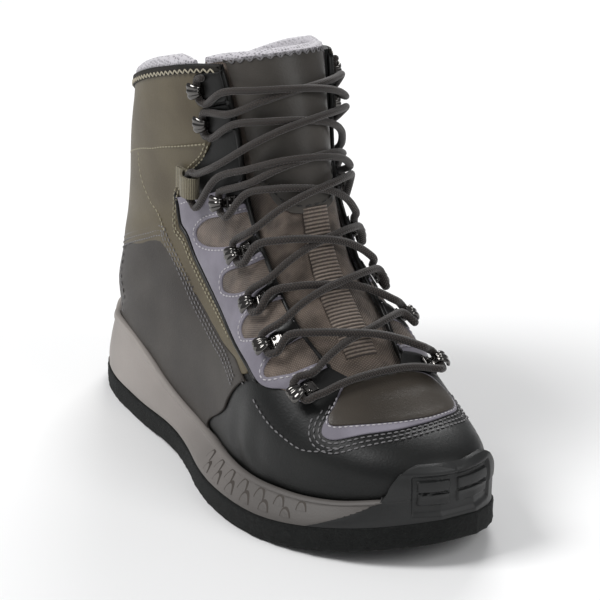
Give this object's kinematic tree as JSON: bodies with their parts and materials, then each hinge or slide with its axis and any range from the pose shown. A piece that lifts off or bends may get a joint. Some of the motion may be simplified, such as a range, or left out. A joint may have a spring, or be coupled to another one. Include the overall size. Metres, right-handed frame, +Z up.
{
  "type": "wading boot",
  "caption": "Right-foot laced wading boot with a hollow high upper, padded tongue, cupped midsole, toe bumper and flat felt outsole.",
  "frame": {"origin": "middle of the flat spot under the heel, on the floor", "axes": "+X towards the toe, +Y to the inner (medial) side of the right foot, +Z up"},
  "size_m": [0.31, 0.1204, 0.2209],
  "materials": {
    "felt": "pressed felt",
    "foam": "matte moulded",
    "rubber": "matte moulded",
    "leather": "coated, fine grain",
    "lavender": "matte microfibre",
    "cloth": "padded cloth",
    "webbing": "ribbed weave",
    "lace": "braided",
    "steel": "dark polished",
    "liner": "brushed cloth"
  },
  "bodies": {
    "root": {"outsole_felt": "felt", "midsole": "foam", "toe_bumper": "rubber", "insole": "liner", "upper": "leather", "quarter_overlay": "leather", "eyestay_lateral": "lavender", "eyestay_medial": "lavender", "collar_cuff": "cloth", "back_strip": "webbing", "tongue": "cloth", "tongue_webbing": "webbing", "ankle_loop_lateral": "webbing", "ankle_loop_medial": "webbing", "laces": "lace", "hook_lateral_1": "steel", "hook_medial_1": "steel", "hook_lateral_2": "steel", "hook_medial_2": "steel", "hook_lateral_3": "steel", "hook_medial_3": "steel", "hook_lateral_4": "steel", "hook_medial_4": "steel", "hook_lateral_5": "steel", "hook_medial_5": "steel", "hook_lateral_6": "steel", "hook_medial_6": "steel", "hook_lateral_7": "steel", "hook_medial_7": "steel"}
  },
  "joints": []
}
